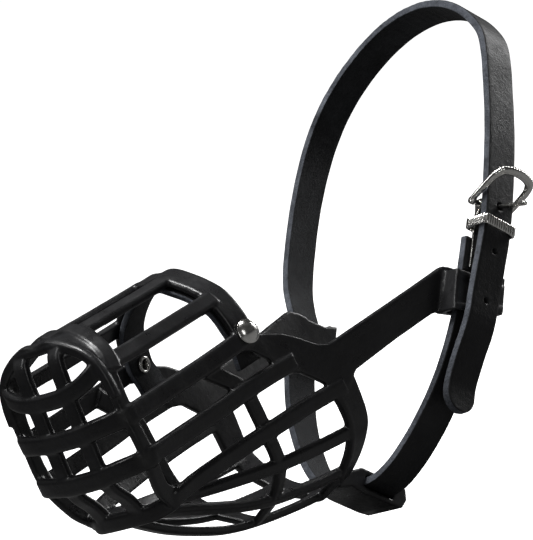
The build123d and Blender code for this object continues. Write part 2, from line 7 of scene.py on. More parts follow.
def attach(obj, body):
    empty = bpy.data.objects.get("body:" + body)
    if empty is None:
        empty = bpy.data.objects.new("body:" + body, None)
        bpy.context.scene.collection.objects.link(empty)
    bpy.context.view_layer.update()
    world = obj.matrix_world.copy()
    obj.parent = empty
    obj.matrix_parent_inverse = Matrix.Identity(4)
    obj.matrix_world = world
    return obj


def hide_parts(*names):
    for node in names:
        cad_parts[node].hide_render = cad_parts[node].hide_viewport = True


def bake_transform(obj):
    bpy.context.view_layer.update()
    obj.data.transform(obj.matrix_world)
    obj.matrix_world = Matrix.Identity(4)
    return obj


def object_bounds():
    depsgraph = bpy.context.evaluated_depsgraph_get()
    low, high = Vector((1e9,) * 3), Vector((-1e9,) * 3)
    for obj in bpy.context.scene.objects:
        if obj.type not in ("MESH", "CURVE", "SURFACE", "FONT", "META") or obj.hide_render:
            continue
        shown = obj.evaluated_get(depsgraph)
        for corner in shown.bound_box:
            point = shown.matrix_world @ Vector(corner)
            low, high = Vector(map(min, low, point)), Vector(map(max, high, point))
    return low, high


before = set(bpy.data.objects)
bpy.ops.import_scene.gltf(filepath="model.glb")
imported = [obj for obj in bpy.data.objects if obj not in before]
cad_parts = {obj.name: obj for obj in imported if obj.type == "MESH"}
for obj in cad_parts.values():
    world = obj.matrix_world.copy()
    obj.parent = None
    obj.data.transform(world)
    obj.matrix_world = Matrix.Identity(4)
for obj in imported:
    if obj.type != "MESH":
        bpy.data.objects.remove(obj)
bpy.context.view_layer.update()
RNG = np.random.default_rng(7)

# Tables are in millimetres about the middle of the two pad rivets; row() moves them to the row frame in metres.
SHIFT = np.array([0.0, -35.0, 23.0])


def row(p):
    return (np.asarray(p, float) + SHIFT) / 1000.0


def unit(a):
    a = np.asarray(a, float)
    return a / np.linalg.norm(a)


def catmull(xs, ys, x):
    xs = np.asarray(xs, float)
    ys = np.asarray(ys, float)
    if x <= xs[0]:
        return ys[0] + (ys[1] - ys[0]) / (xs[1] - xs[0]) * (x - xs[0])
    if x >= xs[-1]:
        return ys[-1] + (ys[-1] - ys[-2]) / (xs[-1] - xs[-2]) * (x - xs[-1])
    i = int(np.searchsorted(xs, x, side="right") - 1)

    def slope(j):
        if j == 0:
            return (ys[1] - ys[0]) / (xs[1] - xs[0])
        if j == len(xs) - 1:
            return (ys[-1] - ys[-2]) / (xs[-1] - xs[-2])
        return (ys[j + 1] - ys[j - 1]) / (xs[j + 1] - xs[j - 1])

    h = xs[i + 1] - xs[i]
    t = (x - xs[i]) / h
    return (2 * t**3 - 3 * t**2 + 1) * ys[i] + (t**3 - 2 * t**2 + t) * h * slope(i) + (-2 * t**3 + 3 * t**2) * ys[i + 1] + (t**3 - t**2) * h * slope(i + 1)


# ---- wall of the basket ----------------------------------------------------------------
WALL = {
    0: ([-66, -48, -25, 0], [0, 0, 0, 0], [29.8, 29.6, 29.0, 28.6]),
    1: ([-66, -48, -25, 0], [9.4, 8.8, 8.6, 8.6], [29.4, 29.0, 28.4, 28.0]),
    2: ([-64, -48, -25, 0], [24.8, 24.8, 24.8, 25.2], [17.2, 16.6, 16.2, 16.0]),
    3: ([-64, -48, -25, -10, 4], [28.2, 28.6, 29.4, 30.1, 30.6], [-2.1, -2.1, -2.0, -1.6, -1.0]),
    4: ([-64, -48, -25, -10, 12, 28, 38], [28.6, 29.2, 30.2, 31.0, 32.0, 33.2, 34.2], [-18.3, -18.2, -18, -17.5, -18, -19.5, -21]),
    5: ([-58, -48, -25, -10, 12, 28, 38], [22.6, 24.8, 28.3, 30.5, 32.2, 33.5, 34.6], [-37.0, -35.6, -34.6, -34.4, -34.6, -35.4, -36]),
    6: ([-58, -48, -25, -10, 12, 28, 38], [19.4, 21.4, 25.8, 28.4, 30.4, 31.8, 32.4], [-38.6, -40.6, -45.2, -48.0, -50.8, -52.3, -53.2]),
    7: ([-62, -48, -25, -10, 12, 28, 38], [10.4, 12.2, 14.6, 16.2, 17.0, 17.4, 17.6], [-39.6, -45.0, -55.2, -60.2, -64.6, -66.8, -67.8]),
    8: ([-66, -48, -25, -10, 12, 28, 38], [0, 0, 0, 0, 0, 0, 0], [-37.4, -50.6, -62.4, -67.2, -71.6, -73.8, -74.6]),
}
_cache = {}


def wall(k, y):
    key = (round(k, 4), round(y, 4))
    if key not in _cache:
        xs = [catmull(WALL[j][0], WALL[j][1], y) for j in range(9)]
        zs = [catmull(WALL[j][0], WALL[j][2], y) for j in range(9)]
        _cache[key] = np.array([catmull(range(9), xs, k), y, catmull(range(9), zs, k)])
    return _cache[key]


def wall_along(k, y):
    a, b = wall(max(0, k - 0.05), y), wall(min(8, k + 0.05), y)
    return unit((b[0] - a[0], 0, b[2] - a[2]))


def wall_out(k, y):
    c = wall_along(k, y)
    return np.array([-c[2], 0, c[0]])


def mirror(path):
    m = np.array([-1.0, 1, 1])
    return [(p * m, a * m, o * m) + tuple(r) for p, a, o, *r in path]


# ---- meshes ----------------------------------------------------------------------------
class Mesh:
    """Collects vertices and faces, in millimetres, with a material index per face."""

    def __init__(self):
        self.v, self.f, self.m, self.uv = [], [], [], []

    def rings(self, rings, closed_ring=True, caps=True, loop=False, mats=0):
        """Rings of equal length joined in order. mats is an index, or one per side of the ring."""
        base = len(self.v)
        n = len(rings[0])
        for r in rings:
            self.v.extend([tuple(p) for p in r])
        count = len(rings)
        span = count if loop else count - 1
        for i in range(span):
            a, b = base + i * n, base + ((i + 1) % count) * n
            for j in range(n if closed_ring else n - 1):
                k = (j + 1) % n
                self.f.append((a + j, a + k, b + k, b + j))
                self.m.append(mats[j] if isinstance(mats, (list, tuple)) else mats)
        if caps and not loop:
            m = mats[0] if isinstance(mats, (list, tuple)) else mats
            for r, flip in ((0, True), (count - 1, False)):
                idx = [base + r * n + j for j in range(n)]
                self.f.append(tuple(reversed(idx)) if flip else tuple(idx))
                self.m.append(m if not isinstance(caps, int) or caps is True else caps)

    def make(self, name, materials, smooth=True):
        me = bpy.data.meshes.new(name)
        me.from_pydata([tuple(row(p)) for p in self.v], [], self.f)
        me.validate()
        for m in materials:
            me.materials.append(m)
        if len(me.polygons) == len(self.m):
            me.polygons.foreach_set("material_index", np.array(self.m, np.int32))
        me.polygons.foreach_set("use_smooth", [smooth] * len(me.polygons))
        me.update()
        o = bpy.data.objects.new(name, me)
        bpy.context.scene.collection.objects.link(o)
        fix_normals(o)
        return o


def fix_normals(o):
    import bmesh
    bm = bmesh.new()
    bm.from_mesh(o.data)
    bmesh.ops.recalc_face_normals(bm, faces=bm.faces)
    bm.to_mesh(o.data)
    bm.free()


def apply_modifiers(o):
    dg = bpy.context.evaluated_depsgraph_get()
    me = bpy.data.meshes.new_from_object(o.evaluated_get(dg), preserve_all_data_layers=True, depsgraph=dg)
    old = o.data
    o.modifiers.clear()
    o.data = me
    me.name = o.name
    bpy.data.meshes.remove(old)


def round_rect(w, lo, hi, ro, ri, n=4):
    """Section points (a, h): half-width w/2 across, from height lo to hi, outer corner radius ro, inner ri."""
    pts = []
    for cx, cy, r, a0 in ((w / 2 - ro, hi - ro, ro, 0), (-w / 2 + ro, hi - ro, ro, 90), (-w / 2 + ri, lo + ri, ri, 180), (w / 2 - ri, lo + ri, ri, 270)):
        for i in range(n + 1):
            t = math.radians(a0 + 90 * i / n)
            pts.append((cx + r * math.cos(t), cy + r * math.sin(t)))
    return pts


def resample(path, step):
    """Smooths a path of (point, across, outward, width) tuples and samples it evenly."""
    P = np.array([p for p, a, o, w in path], float)
    A = np.array([unit(a) for p, a, o, w in path], float)
    O = np.array([unit(o) for p, a, o, w in path], float)
    W = np.array([w for p, a, o, w in path], float)
    s = np.r_[0, np.cumsum(np.linalg.norm(np.diff(P, axis=0), axis=1))]
    n = max(3, int(s[-1] / step) + 1)
    out = []
    for t in np.linspace(0, s[-1], n):
        p = np.array([catmull(s, P[:, i], t) for i in range(3)])
        a = unit([catmull(s, A[:, i], t) for i in range(3)])
        o = unit([catmull(s, O[:, i], t) for i in range(3)])
        out.append((p, a, o, catmull(s, W, t)))
    return out


def bar(mesh, path, thick=3.0, proud=0.0, step=1.6, ro=1.15, ri=0.5, crown=0.0):
    """A moulded bar along a path on the wall's outer surface."""
    path = resample(path, step)
    rings = []
    for i, (p, a, o, w) in enumerate(path):
        run = unit(path[min(len(path) - 1, i + 1)][0] - path[max(0, i - 1)][0])
        a = unit(a - run * np.dot(a, run))
        nrm = np.cross(run, a)
        if np.dot(nrm, o) < 0:
            nrm = -nrm
        sec = round_rect(w, proud - thick, proud, min(ro, w * 0.3), ri)
        rings.append([p + a * x + nrm * (h + crown * (1 - (2 * x / w) ** 2) * (h > proud - thick / 2)) for x, h in sec])
    mesh.rings(rings)


def rib(k, ys, w):
    return [(wall(k, y), wall_along(k, y), wall_out(k, y), w) for y in ys]


def front(points, w, down=True):
    a = np.array([0, 0, -1.0])
    return [(np.array(p, float), a, unit((p[0] * 0.8, p[1] + 45.0, 0)), w) for p in points]


def join_far(path):
    far = mirror(path)[::-1]
    return far + path[1:]


def run(a, b, n):
    return list(np.linspace(a, b, n))


H0 = [(0, -70.6, 11.2), (9, -70.4, 11.6), (16.5, -69.8, 13.2), (22.6, -67.6, 15.6), (24.8, -63.6, 17.0)]
H1 = [(0, -71.8, -3.2), (9, -71.6, -3.0), (17.5, -70.8, -2.3), (24.6, -68.6, -2.0), (28.0, -64.4, -2.1)]
H2 = [(0, -72.2, -19.5), (9, -72.0, -19.3), (17.5, -71.1, -18.6), (24.8, -68.8, -18.3), (28.4, -64.4, -18.4)]
H3 = [(0, -64.4, -38.0), (8.6, -63.8, -38.1), (14.4, -62.2, -38.3), (19.4, -58.8, -37.8)]
B = Mesh()
bar(B, join_far(front(H0, 6.4) + rib(2, run(-60, -2, 9), 6.4)), proud=0.55, crown=0.25)
bar(B, join_far(front(H1, 7.2) + rib(3, run(-61, 3, 9), 7.0)), proud=0.9, crown=0.25)
bar(B, join_far(front(H2, 7.2) + rib(4, run(-61, 14, 9), 6.6)), proud=0.9, crown=0.25)
bar(B, join_far(front(H3, 6.4) + rib(5, run(-57, 30, 10), 6.2)), proud=0.8, crown=0.25)

V3 = [(9.2, -65.6, 28.6), (9.1, -68.2, 26.0), (9.0, -69.6, 21.0), (8.9, -70.2, 15.0), (8.8, -70.8, 9.8), (8.8, -71.8, -4.8), (8.8, -72.4, -19.0), (8.8, -70.8, -25.0), (8.8, -66.6, -31.0), (8.9, -63.4, -37.4)]


def upright(points, w):
    return [(np.array(p, float), np.array([1.0, 0, 0]), unit((0, p[1] + 40.0, p[2] + 5.0)), w) for p in points]


def belly(k, ys, w):
    out = []
    for y in ys:
        p, a, o = wall(k, y), wall_along(k, y), wall_out(k, y)
        if k == 8:
            a, o = np.array([-1.0, 0, 0]), np.array([0, 0, -1.0])
        out.append((p, -a, o, w))
    return out


bar(B, belly(8, run(-64, 33, 13), 5.2), crown=0.2)
v3 = upright(V3, 6.6) + belly(7, run(-57, 31, 12), 5.0)
bar(B, v3, crown=0.2)
bar(B, mirror(v3), crown=0.2)
jaw = [(p, a, o, w) for (p, a, o, _), w in zip(belly(6, run(-57, 31, 10), 5.0), [4.0, 4.4, 4.8, 5, 5, 5, 5.2, 5.2, 5.2, 5.2])]
bar(B, jaw, crown=0.2)
bar(B, mirror(jaw), crown=0.2)
top = rib(1, run(-56, -2, 8), 5.6)
bar(B, top, proud=0.3, crown=0.2)
bar(B, mirror(top), proud=0.3, crown=0.2)

# nose hoop, with a front ridge, a groove and a raised rear ridge over the top
HOOP1 = ((0, -66.5, -48.5), (1, -66.5, -49.0), (1.4, -66.6, -51.5), (1.75, -66.8, -56.0), (2.1, -66.8, -59.0), (3, -67.0, -61.4), (4, -66.8, -61.2), (4.6, -64.4, -58.6), (5, -60.4, -53.0))
CORNER = {1: 0.5, 1.4: 1.5, 1.75: 1.8, 2.1: 1.0}
near = [(wall(k, (a + b) / 2) + wall_out(k, (a + b) / 2) * CORNER.get(k, 0.0), np.array([0, 1.0, 0]), wall_out(k, (a + b) / 2), b - a) for k, a, b in HOOP1]
bar(B, join_far(near), thick=3.0, ro=1.0)


def ridge(front_edge, w, k1, proud, thick=2.4):
    """A raised band round the top of the nose hoop; front_edge gives its middle line at k."""
    ks = np.linspace(0, k1, 9)
    bump_ = lambda k: float(np.interp(k, [0, 1, 1.4, 1.75, 2.1, 3], [0, 0.5, 1.5, 1.8, 1.0, 0]))
    pts = [(wall(k, front_edge(k)) + wall_out(k, front_edge(k)) * bump_(k), np.array([0, 1.0, 0]), wall_out(k, front_edge(k)) if k else np.array([0, 0, 1.0]), w) for k in ks]
    bar(B, join_far(pts), thick=thick, proud=proud, ro=0.9)


def lerp_k(vals):
    return lambda k: float(np.interp(k, [v[0] for v in vals], [v[1] for v in vals]))


ridge(lerp_k([(0, -64.4), (1, -64.4), (2, -65.2), (2.6, -66.0)]), 3.2, 2.6, 0.75)
ridge(lerp_k([(0, -53.0), (1, -53.4), (1.5, -56.4), (2.2, -61.0)]), 6.6, 2.2, 1.0)

HOOP2 = [(3, -25.0), (3.5, -17.5), (4, -11.5), (4.5, -10.5), (5, -10.2), (5.5, -9.8), (6, -9.3), (6.5, -8.6), (7, -8.0), (7.5, -7.0), (8, -6.5)]
W2 = [6.6, 6.4, 6.2, 6.0, 6.0, 5.8, 5.8, 5.6, 5.4, 5.4, 5.4]
near = [(wall(k, y), np.array([0, 1.0, 0]), wall_out(k, y) if k < 8 else np.array([0, 0, -1.0]), w) for (k, y), w in zip(HOOP2, W2)]
bar(B, near + mirror(near)[::-1][1:], proud=-0.35, thick=2.9)

RIM = [(4.9, 30.5, 13.5), (5.3, 30.6, 12.2), (5.7, 30.2, 11.4), (6, 29.8, 11.0), (6.4, 29.4, 9.6), (6.8, 29.2, 8.4), (7.2, 29.3, 7.4), (7.6, 29.6, 7.0), (8, 29.8, 7.0)]
near = [(wall(k, y), np.array([0, 1.0, 0]), wall_out(k, y) if k < 8 else np.array([0, 0, -1.0]), w) for k, y, w in RIM]
bar(B, near + mirror(near)[::-1][1:], proud=0.3, thick=3.2, ro=1.3)
# the rim's inner ridge
near = [(wall(k, y - w / 2 + 1.3), np.array([0, 1.0, 0]), wall_out(k, y) if k < 8 else np.array([0, 0, -1.0]), 2.2) for k, y, w in RIM]
bar(B, near + mirror(near)[::-1][1:], proud=0.85, thick=2.2, ro=0.8)

ARCH = [(0, 0), (0.6, 0), (1, 0), (1.3, 0), (1.6, 0), (2, 0), (2.5, 0), (2.9, 0), (3.14, 0.3)]
near = [(wall(k, y), np.array([0, 1.0, 0]), wall_out(k, y) if k else np.array([0, 0, 1.0]), 10.6) for k, y in ARCH]
bar(B, join_far(near), proud=0.2, thick=2.7, ro=1.3)

PLATE = [
    (-8.0, 2.6, 30.2, -4.8, 30.6), (-2.0, 2.6, 30.7, -6.0, 31.1), (4.6, -2.2, 31.1, -13.0, 31.7), (6.4, -3.2, 31.0, -20.4, 32.0), (14.6, -6.8, 31.6, -22.6, 32.6),
    (21.0, -11.6, 32.4, -29.0, 33.2), (27.0, -17.0, 33.2, -36.0, 33.8), (32.0, -19.4, 34.0, -37.0, 34.4), (38.0, -19.3, 34.9, -33.0, 35.0),
    (60.0, -18.6, 38.2, -31.4, 38.2), (80.0, -17.9, 41.0, -30.6, 41.0), (94.2, -17.4, 42.4, -33.0, 42.4), (98.0, -19.6, 42.6, -36.0, 42.6), (102.0, -23.6, 42.6, -38.0, 42.6)]
ARM_T = 2.6


def plate_rings(y0, y1, inset, thick, proud, n, side, ro=0.8):
    ys = np.linspace(y0, y1, n)
    cols = list(zip(*PLATE))
    rings = []
    for y in ys:
        zt, xt, zb, xb = [float(np.interp(y, cols[0], cols[i])) for i in (1, 2, 3, 4)]
        d = np.array([xb - xt, 0, zb - zt])
        L = np.linalg.norm(d)
        d = d / L
        nrm = np.array([-d[2], 0, d[0]])
        mid = np.array([(xt + xb) / 2, y, (zt + zb) / 2])
        w = L - 2 * inset
        sec = round_rect(w, proud - thick, proud, min(ro, w * 0.3, thick * 0.4), min(0.5, thick * 0.3))
        r = [mid - d * x + nrm * h for x, h in sec]
        rings.append([np.array([side * p[0], p[1], p[2]]) for p in r])
    return rings


LPA = math.radians(45.0)
UV = np.array([0.0, math.cos(LPA), math.sin(LPA)])
NV = np.array([0.0, math.sin(LPA), -math.cos(LPA)])
P0 = np.array([0.0, 100.0, -30.2])


def loop(x, v, n=0.0):
    return np.array([x, P0[1], P0[2]]) + UV * v + NV * n


def prism_x(mesh, vn, x0, x1):
    mesh.rings([[loop(x, v, n) for v, n in vn] for x in (x0, x1)])


for side in (1, -1):
    B.rings(plate_rings(-5.0, 102.0, 0.0, ARM_T, 0.0, 60, side))
    # raised borders along the arm's outer face
    for vn, xa, xb in (
        ([(4.9, -13.0), (-13.4, -11.2), (-6.2, 13.6), (8.2, 12.8), (6.0, 7.0)], 40.0, 42.6),
        ([(3.0, -12.2), (-13.2, -11.2), (-12.4, -9.0), (3.2, -9.2)], 41.4, 49.2),
        ([(8.0, 9.6), (-6.6, 9.7), (-6.2, 13.6), (8.2, 12.8)], 41.4, 49.2),
        ([(3.0, -12.2), (-13.2, -11.2), (-6.2, 13.6), (5.2, 13.2)], 47.6, 49.4),
        ([(2.6, -11.6), (0.4, -11.6), (2.2, 11.9), (4.4, 11.9)], 48.2, 49.75),
        ([(-11.0, -11.0), (-13.0, -11.0), (-5.2, 13.0), (-3.2, 13.0)], 48.2, 49.75),
    ):
        prism_x(B, vn, side * xa, side * xb)
for vn in (
    [(-67.2, -9.6), (-71.6, -16.6), (-76.2, -20.8), (-78.4, -18.6), (-75.8, -13.0), (-76.4, -7.4), (-67.2, -7.4)],
    [(-67.2, -8.0), (-69.4, -8.0), (-69.4, 8.0), (-67.2, 8.0)],
    [(-73.9, -8.0), (-76.4, -8.0), (-76.2, 8.0), (-73.9, 8.0)],
    [(-67.2, 7.4), (-76.2, 7.4), (-75.6, 12.6), (-72.0, 14.4), (-67.8, 13.2)],
):
    prism_x(B, vn, -9.0, 9.0)

# ---- materials -------------------------------------------------------------------------
def new_mat(name):
    m = bpy.data.materials.new(name)
    m.use_nodes = True
    nt = m.node_tree
    nt.nodes.clear()
    out = nt.nodes.new("ShaderNodeOutputMaterial")
    b = nt.nodes.new("ShaderNodeBsdfPrincipled")
    nt.links.new(b.outputs[0], out.inputs[0])
    return m, nt, b


def noise(nt, scale, detail=4.0, rough=0.6, vec=None, distortion=0.0):
    n = nt.nodes.new("ShaderNodeTexNoise")
    n.inputs["Scale"].default_value = scale
    n.inputs["Detail"].default_value = detail
    n.inputs["Roughness"].default_value = rough
    n.inputs["Distortion"].default_value = distortion
    if vec is not None:
        nt.links.new(vec, n.inputs["Vector"])
    return n


def ramp(nt, src, stops):
    r = nt.nodes.new("ShaderNodeValToRGB")
    els = r.color_ramp.elements
    while len(els) < len(stops):
        els.new(0.5)
    for e, (pos, col) in zip(els, stops):
        e.position = pos
        e.color = (col, col, col, 1) if isinstance(col, (int, float)) else (*col, 1)
    nt.links.new(src, r.inputs[0])
    return r


def bump(nt, b, height, strength, distance, prev=None):
    n = nt.nodes.new("ShaderNodeBump")
    n.inputs["Strength"].default_value = strength
    n.inputs["Distance"].default_value = distance
    nt.links.new(height, n.inputs["Height"])
    if prev is not None:
        nt.links.new(prev.outputs[0], n.inputs["Normal"])
    nt.links.new(n.outputs[0], b.inputs["Normal"])
    return n


def coords(nt, scale=None):
    tc = nt.nodes.new("ShaderNodeTexCoord")
    if scale is None:
        return tc.outputs["Object"]
    mp = nt.nodes.new("ShaderNodeMapping")
    mp.inputs["Scale"].default_value = scale
    nt.links.new(tc.outputs["Object"], mp.inputs["Vector"])
    return mp.outputs[0]


def plastic():
    m, nt, b = new_mat("moulded_black")
    v = coords(nt)
    col = ramp(nt, noise(nt, 60, 5, 0.6, v).outputs[0], [(0.3, (0.0085, 0.0085, 0.0092)), (0.75, (0.016, 0.016, 0.0172))])
    nt.links.new(col.outputs[0], b.inputs["Base Color"])
    r1 = ramp(nt, noise(nt, 130, 6, 0.65, v, 0.4).outputs[0], [(0.3, 0.24), (0.7, 0.40)])
    nt.links.new(r1.outputs[0], b.inputs["Roughness"])
    b.inputs["Specular IOR Level"].default_value = 0.42
    b1 = bump(nt, b, noise(nt, 260, 4, 0.6, v).outputs[0], 0.28, 0.0006)
    bump(nt, b, noise(nt, 1600, 3, 0.6, v).outputs[0], 0.16, 0.00015, b1)
    return m


def leather_grain():
    m, nt, b = new_mat("leather_grain")
    v = coords(nt)
    col = ramp(nt, noise(nt, 90, 5, 0.6, v).outputs[0], [(0.3, (0.008, 0.0082, 0.009)), (0.75, (0.016, 0.0163, 0.0175))])
    nt.links.new(col.outputs[0], b.inputs["Base Color"])
    r1 = ramp(nt, noise(nt, 160, 5, 0.6, v).outputs[0], [(0.3, 0.38), (0.7, 0.54)])
    nt.links.new(r1.outputs[0], b.inputs["Roughness"])
    b.inputs["Specular IOR Level"].default_value = 0.22
    vo = nt.nodes.new("ShaderNodeTexVoronoi")
    vo.inputs["Scale"].default_value = 1500
    nt.links.new(v, vo.inputs["Vector"])
    b1 = bump(nt, b, noise(nt, 420, 5, 0.65, v, 0.6).outputs[0], 0.4, 0.0005)
    bump(nt, b, vo.outputs["Distance"], 0.3, 0.00018, b1)
    return m


def leather_raw(name, lo, hi, rough, depth):
    m, nt, b = new_mat(name)
    v = coords(nt)
    n1 = noise(nt, 900, 8, 0.75, v, 1.2)
    n2 = noise(nt, 110, 5, 0.6, v)
    mix = nt.nodes.new("ShaderNodeMath")
    mix.operation = "MULTIPLY"
    nt.links.new(n1.outputs[0], mix.inputs[0])
    nt.links.new(n2.outputs[0], mix.inputs[1])
    col = ramp(nt, mix.outputs[0], [(0.12, lo), (0.42, hi)])
    nt.links.new(col.outputs[0], b.inputs["Base Color"])
    b.inputs["Roughness"].default_value = rough
    b.inputs["Specular IOR Level"].default_value = 0.16
    b.inputs["Sheen Weight"].default_value = 0.06
    b.inputs["Sheen Roughness"].default_value = 0.5
    bump(nt, b, n1.outputs[0], 0.8, depth)
    return m


def nickel():
    m, nt, b = new_mat("nickel_plate")
    v = coords(nt)
    b.inputs["Metallic"].default_value = 1.0
    col = ramp(nt, noise(nt, 300, 4, 0.6, v).outputs[0], [(0.3, (0.62, 0.61, 0.585)), (0.7, (0.74, 0.73, 0.705))])
    nt.links.new(col.outputs[0], b.inputs["Base Color"])
    r1 = ramp(nt, noise(nt, 500, 6, 0.7, v, 0.8).outputs[0], [(0.35, 0.13), (0.72, 0.30)])
    nt.links.new(r1.outputs[0], b.inputs["Roughness"])
    bump(nt, b, noise(nt, 380, 5, 0.6, v).outputs[0], 0.15, 0.0002)
    return m


M_PLASTIC = plastic()
M_GRAIN = leather_grain()
M_EDGE = leather_raw("leather_cut_edge", (0.012, 0.0135, 0.018), (0.150, 0.163, 0.190), 0.85, 0.0008)
M_FLESH = leather_raw("leather_flesh", (0.0045, 0.0048, 0.0055), (0.026, 0.0275, 0.031), 0.8, 0.0007)
M_NICKEL = nickel()

# ---- basket ----------------------------------------------------------------------------
basket = B.make("basket_moulding", [M_PLASTIC])
vox = basket.modifiers.new("Remesh", "REMESH")
vox.mode = "VOXEL"
vox.voxel_size = 0.00042
vox.use_smooth_shade = True
apply_modifiers(basket)
sm = basket.modifiers.new("Smooth", "SMOOTH")
sm.factor = 0.5
sm.iterations = 7
apply_modifiers(basket)


def cut(obj, cutter):
    mod = obj.modifiers.new("cut", "BOOLEAN")
    mod.operation = "DIFFERENCE"
    mod.object = cutter
    mod.solver = "EXACT"
    apply_modifiers(obj)
    bpy.data.objects.remove(cutter)


def cylinder(o, d, a, b, r, n=40):
    d = unit(d)
    x = unit(np.cross(d, [0.31, 0.22, 0.93]))
    y = np.cross(d, x)
    m = Mesh()
    m.rings([[o + d * t + (x * math.cos(q) + y * math.sin(q)) * r for q in np.linspace(0, 2 * math.pi, n, endpoint=False)] for t in (a, b)])
    return m.make("cutter", [])


TILT_R = math.radians(11.0)


def rivet_frame(side):
    p = wall(2.95, 0)
    return np.array([side * (p[0] + 0.2), 0, 0]), unit([side * math.cos(TILT_R), -0.12, math.sin(TILT_R)])


for side in (1, -1):
    o, d = rivet_frame(side)
    cut(basket, cylinder(o, d, -7, 3, 1.75))
    cut(basket, cylinder(o, d, 1.25, 6, 4.9))
for p in basket.data.polygons:
    p.use_smooth = True
if not basket.data.materials:
    basket.data.materials.append(M_PLASTIC)
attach(basket, "basket_body")
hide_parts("basket")

# ---- nose pad --------------------------------------------------------------------------
PAD_W, PAD_T = 13.0, 2.2
near = []
for k in (0, 0.5, 0.9, 1.2, 1.5, 1.8, 2.2, 2.6, 3.0, 3.3, 3.62):
    p, o = wall(k, 0), wall_out(k, 0)
    if k == 0:
        o = np.array([0, 0, 1.0])
    if k > 3:
        p = np.array([30.4 - (k - 3) * 2.4, 0, -0.6 - (k - 3) * 18.0])
        o = unit((1.0, 0, -0.12))
    near.append((p - o * (3.0 if k < 2 else 2.8 if k < 2.4 else 2.5), np.array([0, 1.0, 0]), o, PAD_W))
pad_path = resample(join_far(near), 0.8)
N = Mesh()
rings = []
count = len(pad_path)
for i, (p, a, o, w) in enumerate(pad_path):
    runv = unit(pad_path[min(count - 1, i + 1)][0] - pad_path[max(0, i - 1)][0])
    a = unit(a - runv * np.dot(a, runv))
    nrm = np.cross(runv, a)
    if np.dot(nrm, o) < 0:
        nrm = -nrm
    sec = round_rect(w - 0.3, -0.2 - PAD_T, -0.2, 0.5, 0.8, 3)
    wob = 0.12 * math.sin(i * 0.9) + 0.08 * math.sin(i * 2.3 + 1)
    ring = []
    for x, h in sec:
        q = p + a * (x * (1 + wob * 0.02) + 0.1 * math.sin(i * 0.37)) + nrm * h
        ring.append(q)
    rings.append(ring)
sec = round_rect(PAD_W - 0.3, -0.2 - PAD_T, -0.2, 0.5, 0.8, 3)
mats = []
for j in range(len(sec)):
    x, h = sec[j]
    x2, h2 = sec[(j + 1) % len(sec)]
    if abs(x + x2) / 2 > PAD_W / 2 - 0.75:
        mats.append(1)
    else:
        mats.append(0 if (h + h2) / 2 > -1.5 else 2)
N.rings(rings, mats=mats, caps=1)
pad = N.make("nose_pad_leather", [M_GRAIN, M_EDGE, M_FLESH])
for side in (1, -1):
    o, d = rivet_frame(side)
    cut(pad, cylinder(o, d, -9, 3, 1.75))
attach(pad, "basket_body")
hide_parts("nose_pad")


# ---- turned and wire pieces ------------------------------------------------------------
def lathe(mesh, o, d, profile, n=56):
    """profile: (height along d, radius)."""
    d = unit(d)
    x = unit(np.cross(d, [0.31, 0.22, 0.93]))
    y = np.cross(d, x)
    mesh.rings([[o + d * t + (x * math.cos(q) + y * math.sin(q)) * max(r, 0.01) for q in np.linspace(0, 2 * math.pi, n, endpoint=False)] for t, r in profile])


for side, tag in ((1, "left"), (-1, "right")):
    o, d = rivet_frame(side)
    base = o + d * 1.3
    ball_r = (4.6**2 + 2.3**2) / 4.6
    prof = [(0.9, 1.62), (0.0, 1.66), (0.0, 3.2), (0.0, 4.35), (0.14, 4.55), (0.42, 4.5)]
    for t in np.linspace(0.16, 1.0, 16):
        r = 4.46 * math.cos(t * math.pi / 2) ** 1.0
        h = 2.3 - ball_r + math.sqrt(max(ball_r**2 - r * r, 0))
        prof.append((max(h, 0.42), r))
    C = Mesh()
    lathe(C, base, d, prof)
    c = C.make("pad_rivet_cap_" + tag, [M_NICKEL])
    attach(c, "basket_body")
    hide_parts("rivet_cap_" + tag)
    deep = -5.45
    E = Mesh()
    prof = [(1.4, 1.52), (1.4, 1.58), (-4.5, 1.6), (-4.75, 1.8), (-4.8, 2.2), (-4.85, 2.9), (-5.0, 3.22), (-5.4, 3.28)]
    for q in np.linspace(0, 180, 15):
        prof.append((deep - 0.1 - 0.75 * math.sin(math.radians(q)), 2.55 + 0.73 * math.cos(math.radians(q))))
    prof += [(-5.2, 1.75), (-4.2, 1.5), (-3.0, 1.5), (1.4, 1.5)]
    lathe(E, o, d, prof)
    e = E.make("pad_eyelet_" + tag, [M_NICKEL])
    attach(e, "basket_body")
    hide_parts("rivet_eyelet_" + tag)

# ---- leather strap ---------------------------------------------------------------------
STRAP_W, STRAP_T = 14.0, 3.2
LOWER = [(45.1, 0.0), (44.9, -7.0), (44.5, -13.0), (43.4, -19.5), (41.6, -27.5), (39.3, -35.0), (36.6, -41.8), (33.3, -48.2), (29.7, -54.2), (25.8, -59.6), (21.8, -64.2), (18.0, -67.6), (13.8, -70.2), (9.0, -71.6), (0.0, -71.6)]
UPPER = [(45.1, 0.0), (45.3, 5.5), (48.4, 12.5), (51.2, 20.0), (52.8, 29.0), (53.5, 40.0), (53.7, 51.0), (53.2, 62.0), (51.9, 73.0), (49.5, 84.0), (45.4, 94.6), (39.8, 103.6), (32.6, 111.6), (24.4, 118.2), (15.8, 123.0), (7.2, 125.8), (-1.0, 126.8)]
NEARUP = [(8.2, 126.4), (17.4, 124.0), (26.0, 119.5), (34.0, 113.0), (40.6, 105.0), (44.2, 95.0), (46.6, 84.0), (48.9, 72.6), (50.8, 61.0), (52.2, 49.0), (53.3, 38.0), (53.9, 29.0), (54.1, 22.4)]
TAIL = [(54.1, 22.2), (54.0, 18.4), (53.6, 12.5), (52.9, 4.0), (52.3, -3.0), (52.0, -9.0), (51.7, -13.0), (50.6, -18.5), (48.4, -25.5), (46.6, -32.0), (45.3, -38.0), (45.2, -43.0), (45.6, -49.2)]
